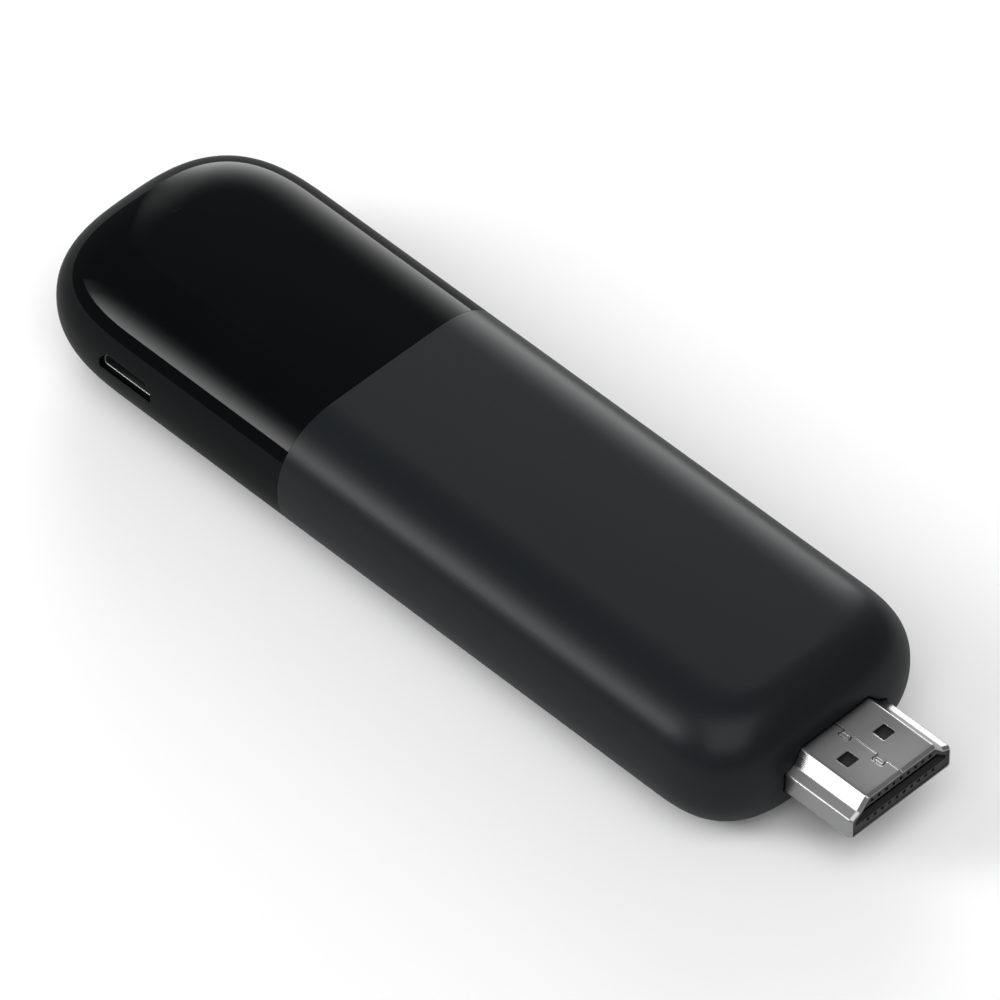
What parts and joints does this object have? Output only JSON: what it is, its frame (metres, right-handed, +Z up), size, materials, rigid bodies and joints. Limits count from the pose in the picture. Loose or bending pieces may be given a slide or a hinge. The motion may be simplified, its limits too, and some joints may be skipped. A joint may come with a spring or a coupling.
{
  "type": "streaming stick",
  "caption": "Slim rounded streaming stick: glossy end cap, matte sleeve, a rigid audio-video plug at one end and a power socket in the side.",
  "frame": {"origin": "under the middle of the whole stick, plug included, on the surface that it lies on", "axes": "+X along the stick towards the plug, +Y across it, +Z up; the power socket is in the -Y side"},
  "size_m": [0.1086, 0.0306, 0.0148],
  "materials": {
    "matte_black_abs": "fine spark-eroded grain, moulded black plastic",
    "gloss_black_pc": "polished moulded black plastic",
    "nickel_plated_steel": "satin nickel plate on folded steel sheet",
    "black_lcp": "moulded black liquid-crystal polymer",
    "gold_plated_bronze": "gold flash on phosphor bronze strip",
    "grey_nylon": "moulded glass-filled nylon",
    "board_laminate": "green solder mask on glass-epoxy laminate",
    "zinc_plated_steel": "zinc-plated steel screw",
    "chip_epoxy": "moulded epoxy chip body",
    "tinned_steel": "tin-plated steel sheet",
    "ferrite": "moulded ferrite",
    "ceramic": "fired ceramic",
    "thermal_silicone": "soft ceramic-filled silicone",
    "aluminium": "extruded and milled aluminium",
    "phosphor_bronze": "stamped phosphor bronze sheet"
  },
  "bodies": {
    "root": {"matte_sleeve": "matte_black_abs", "gloss_end_cap": "gloss_black_pc", "plug_shell": "nickel_plated_steel", "plug_insulator": "black_lcp", "wide_side_contacts": "gold_plated_bronze", "narrow_side_contacts": "gold_plated_bronze", "plug_collar": "grey_nylon", "board_tray": "grey_nylon", "main_board": "board_laminate", "board_screws": "zinc_plated_steel", "power_socket_shell": "nickel_plated_steel", "power_socket_tongue": "black_lcp", "power_socket_contacts": "gold_plated_bronze", "processor": "chip_epoxy", "memory_chips": "chip_epoxy", "flash_chip": "chip_epoxy", "power_chip": "chip_epoxy", "radio_module": "board_laminate", "radio_can": "tinned_steel", "inductors": "ferrite", "crystals": "tinned_steel", "capacitors": "ceramic", "upper_shield_frame": "tinned_steel", "upper_shield_lid": "tinned_steel", "lower_shield_frame": "tinned_steel", "lower_shield_lid": "tinned_steel", "processor_pad": "thermal_silicone", "flash_pad": "thermal_silicone", "upper_thermal_pad": "thermal_silicone", "lower_thermal_pad": "thermal_silicone", "upper_heat_spreader": "aluminium", "lower_heat_spreader": "aluminium", "left_aerial": "phosphor_bronze", "right_aerial": "phosphor_bronze"}
  },
  "joints": []
}
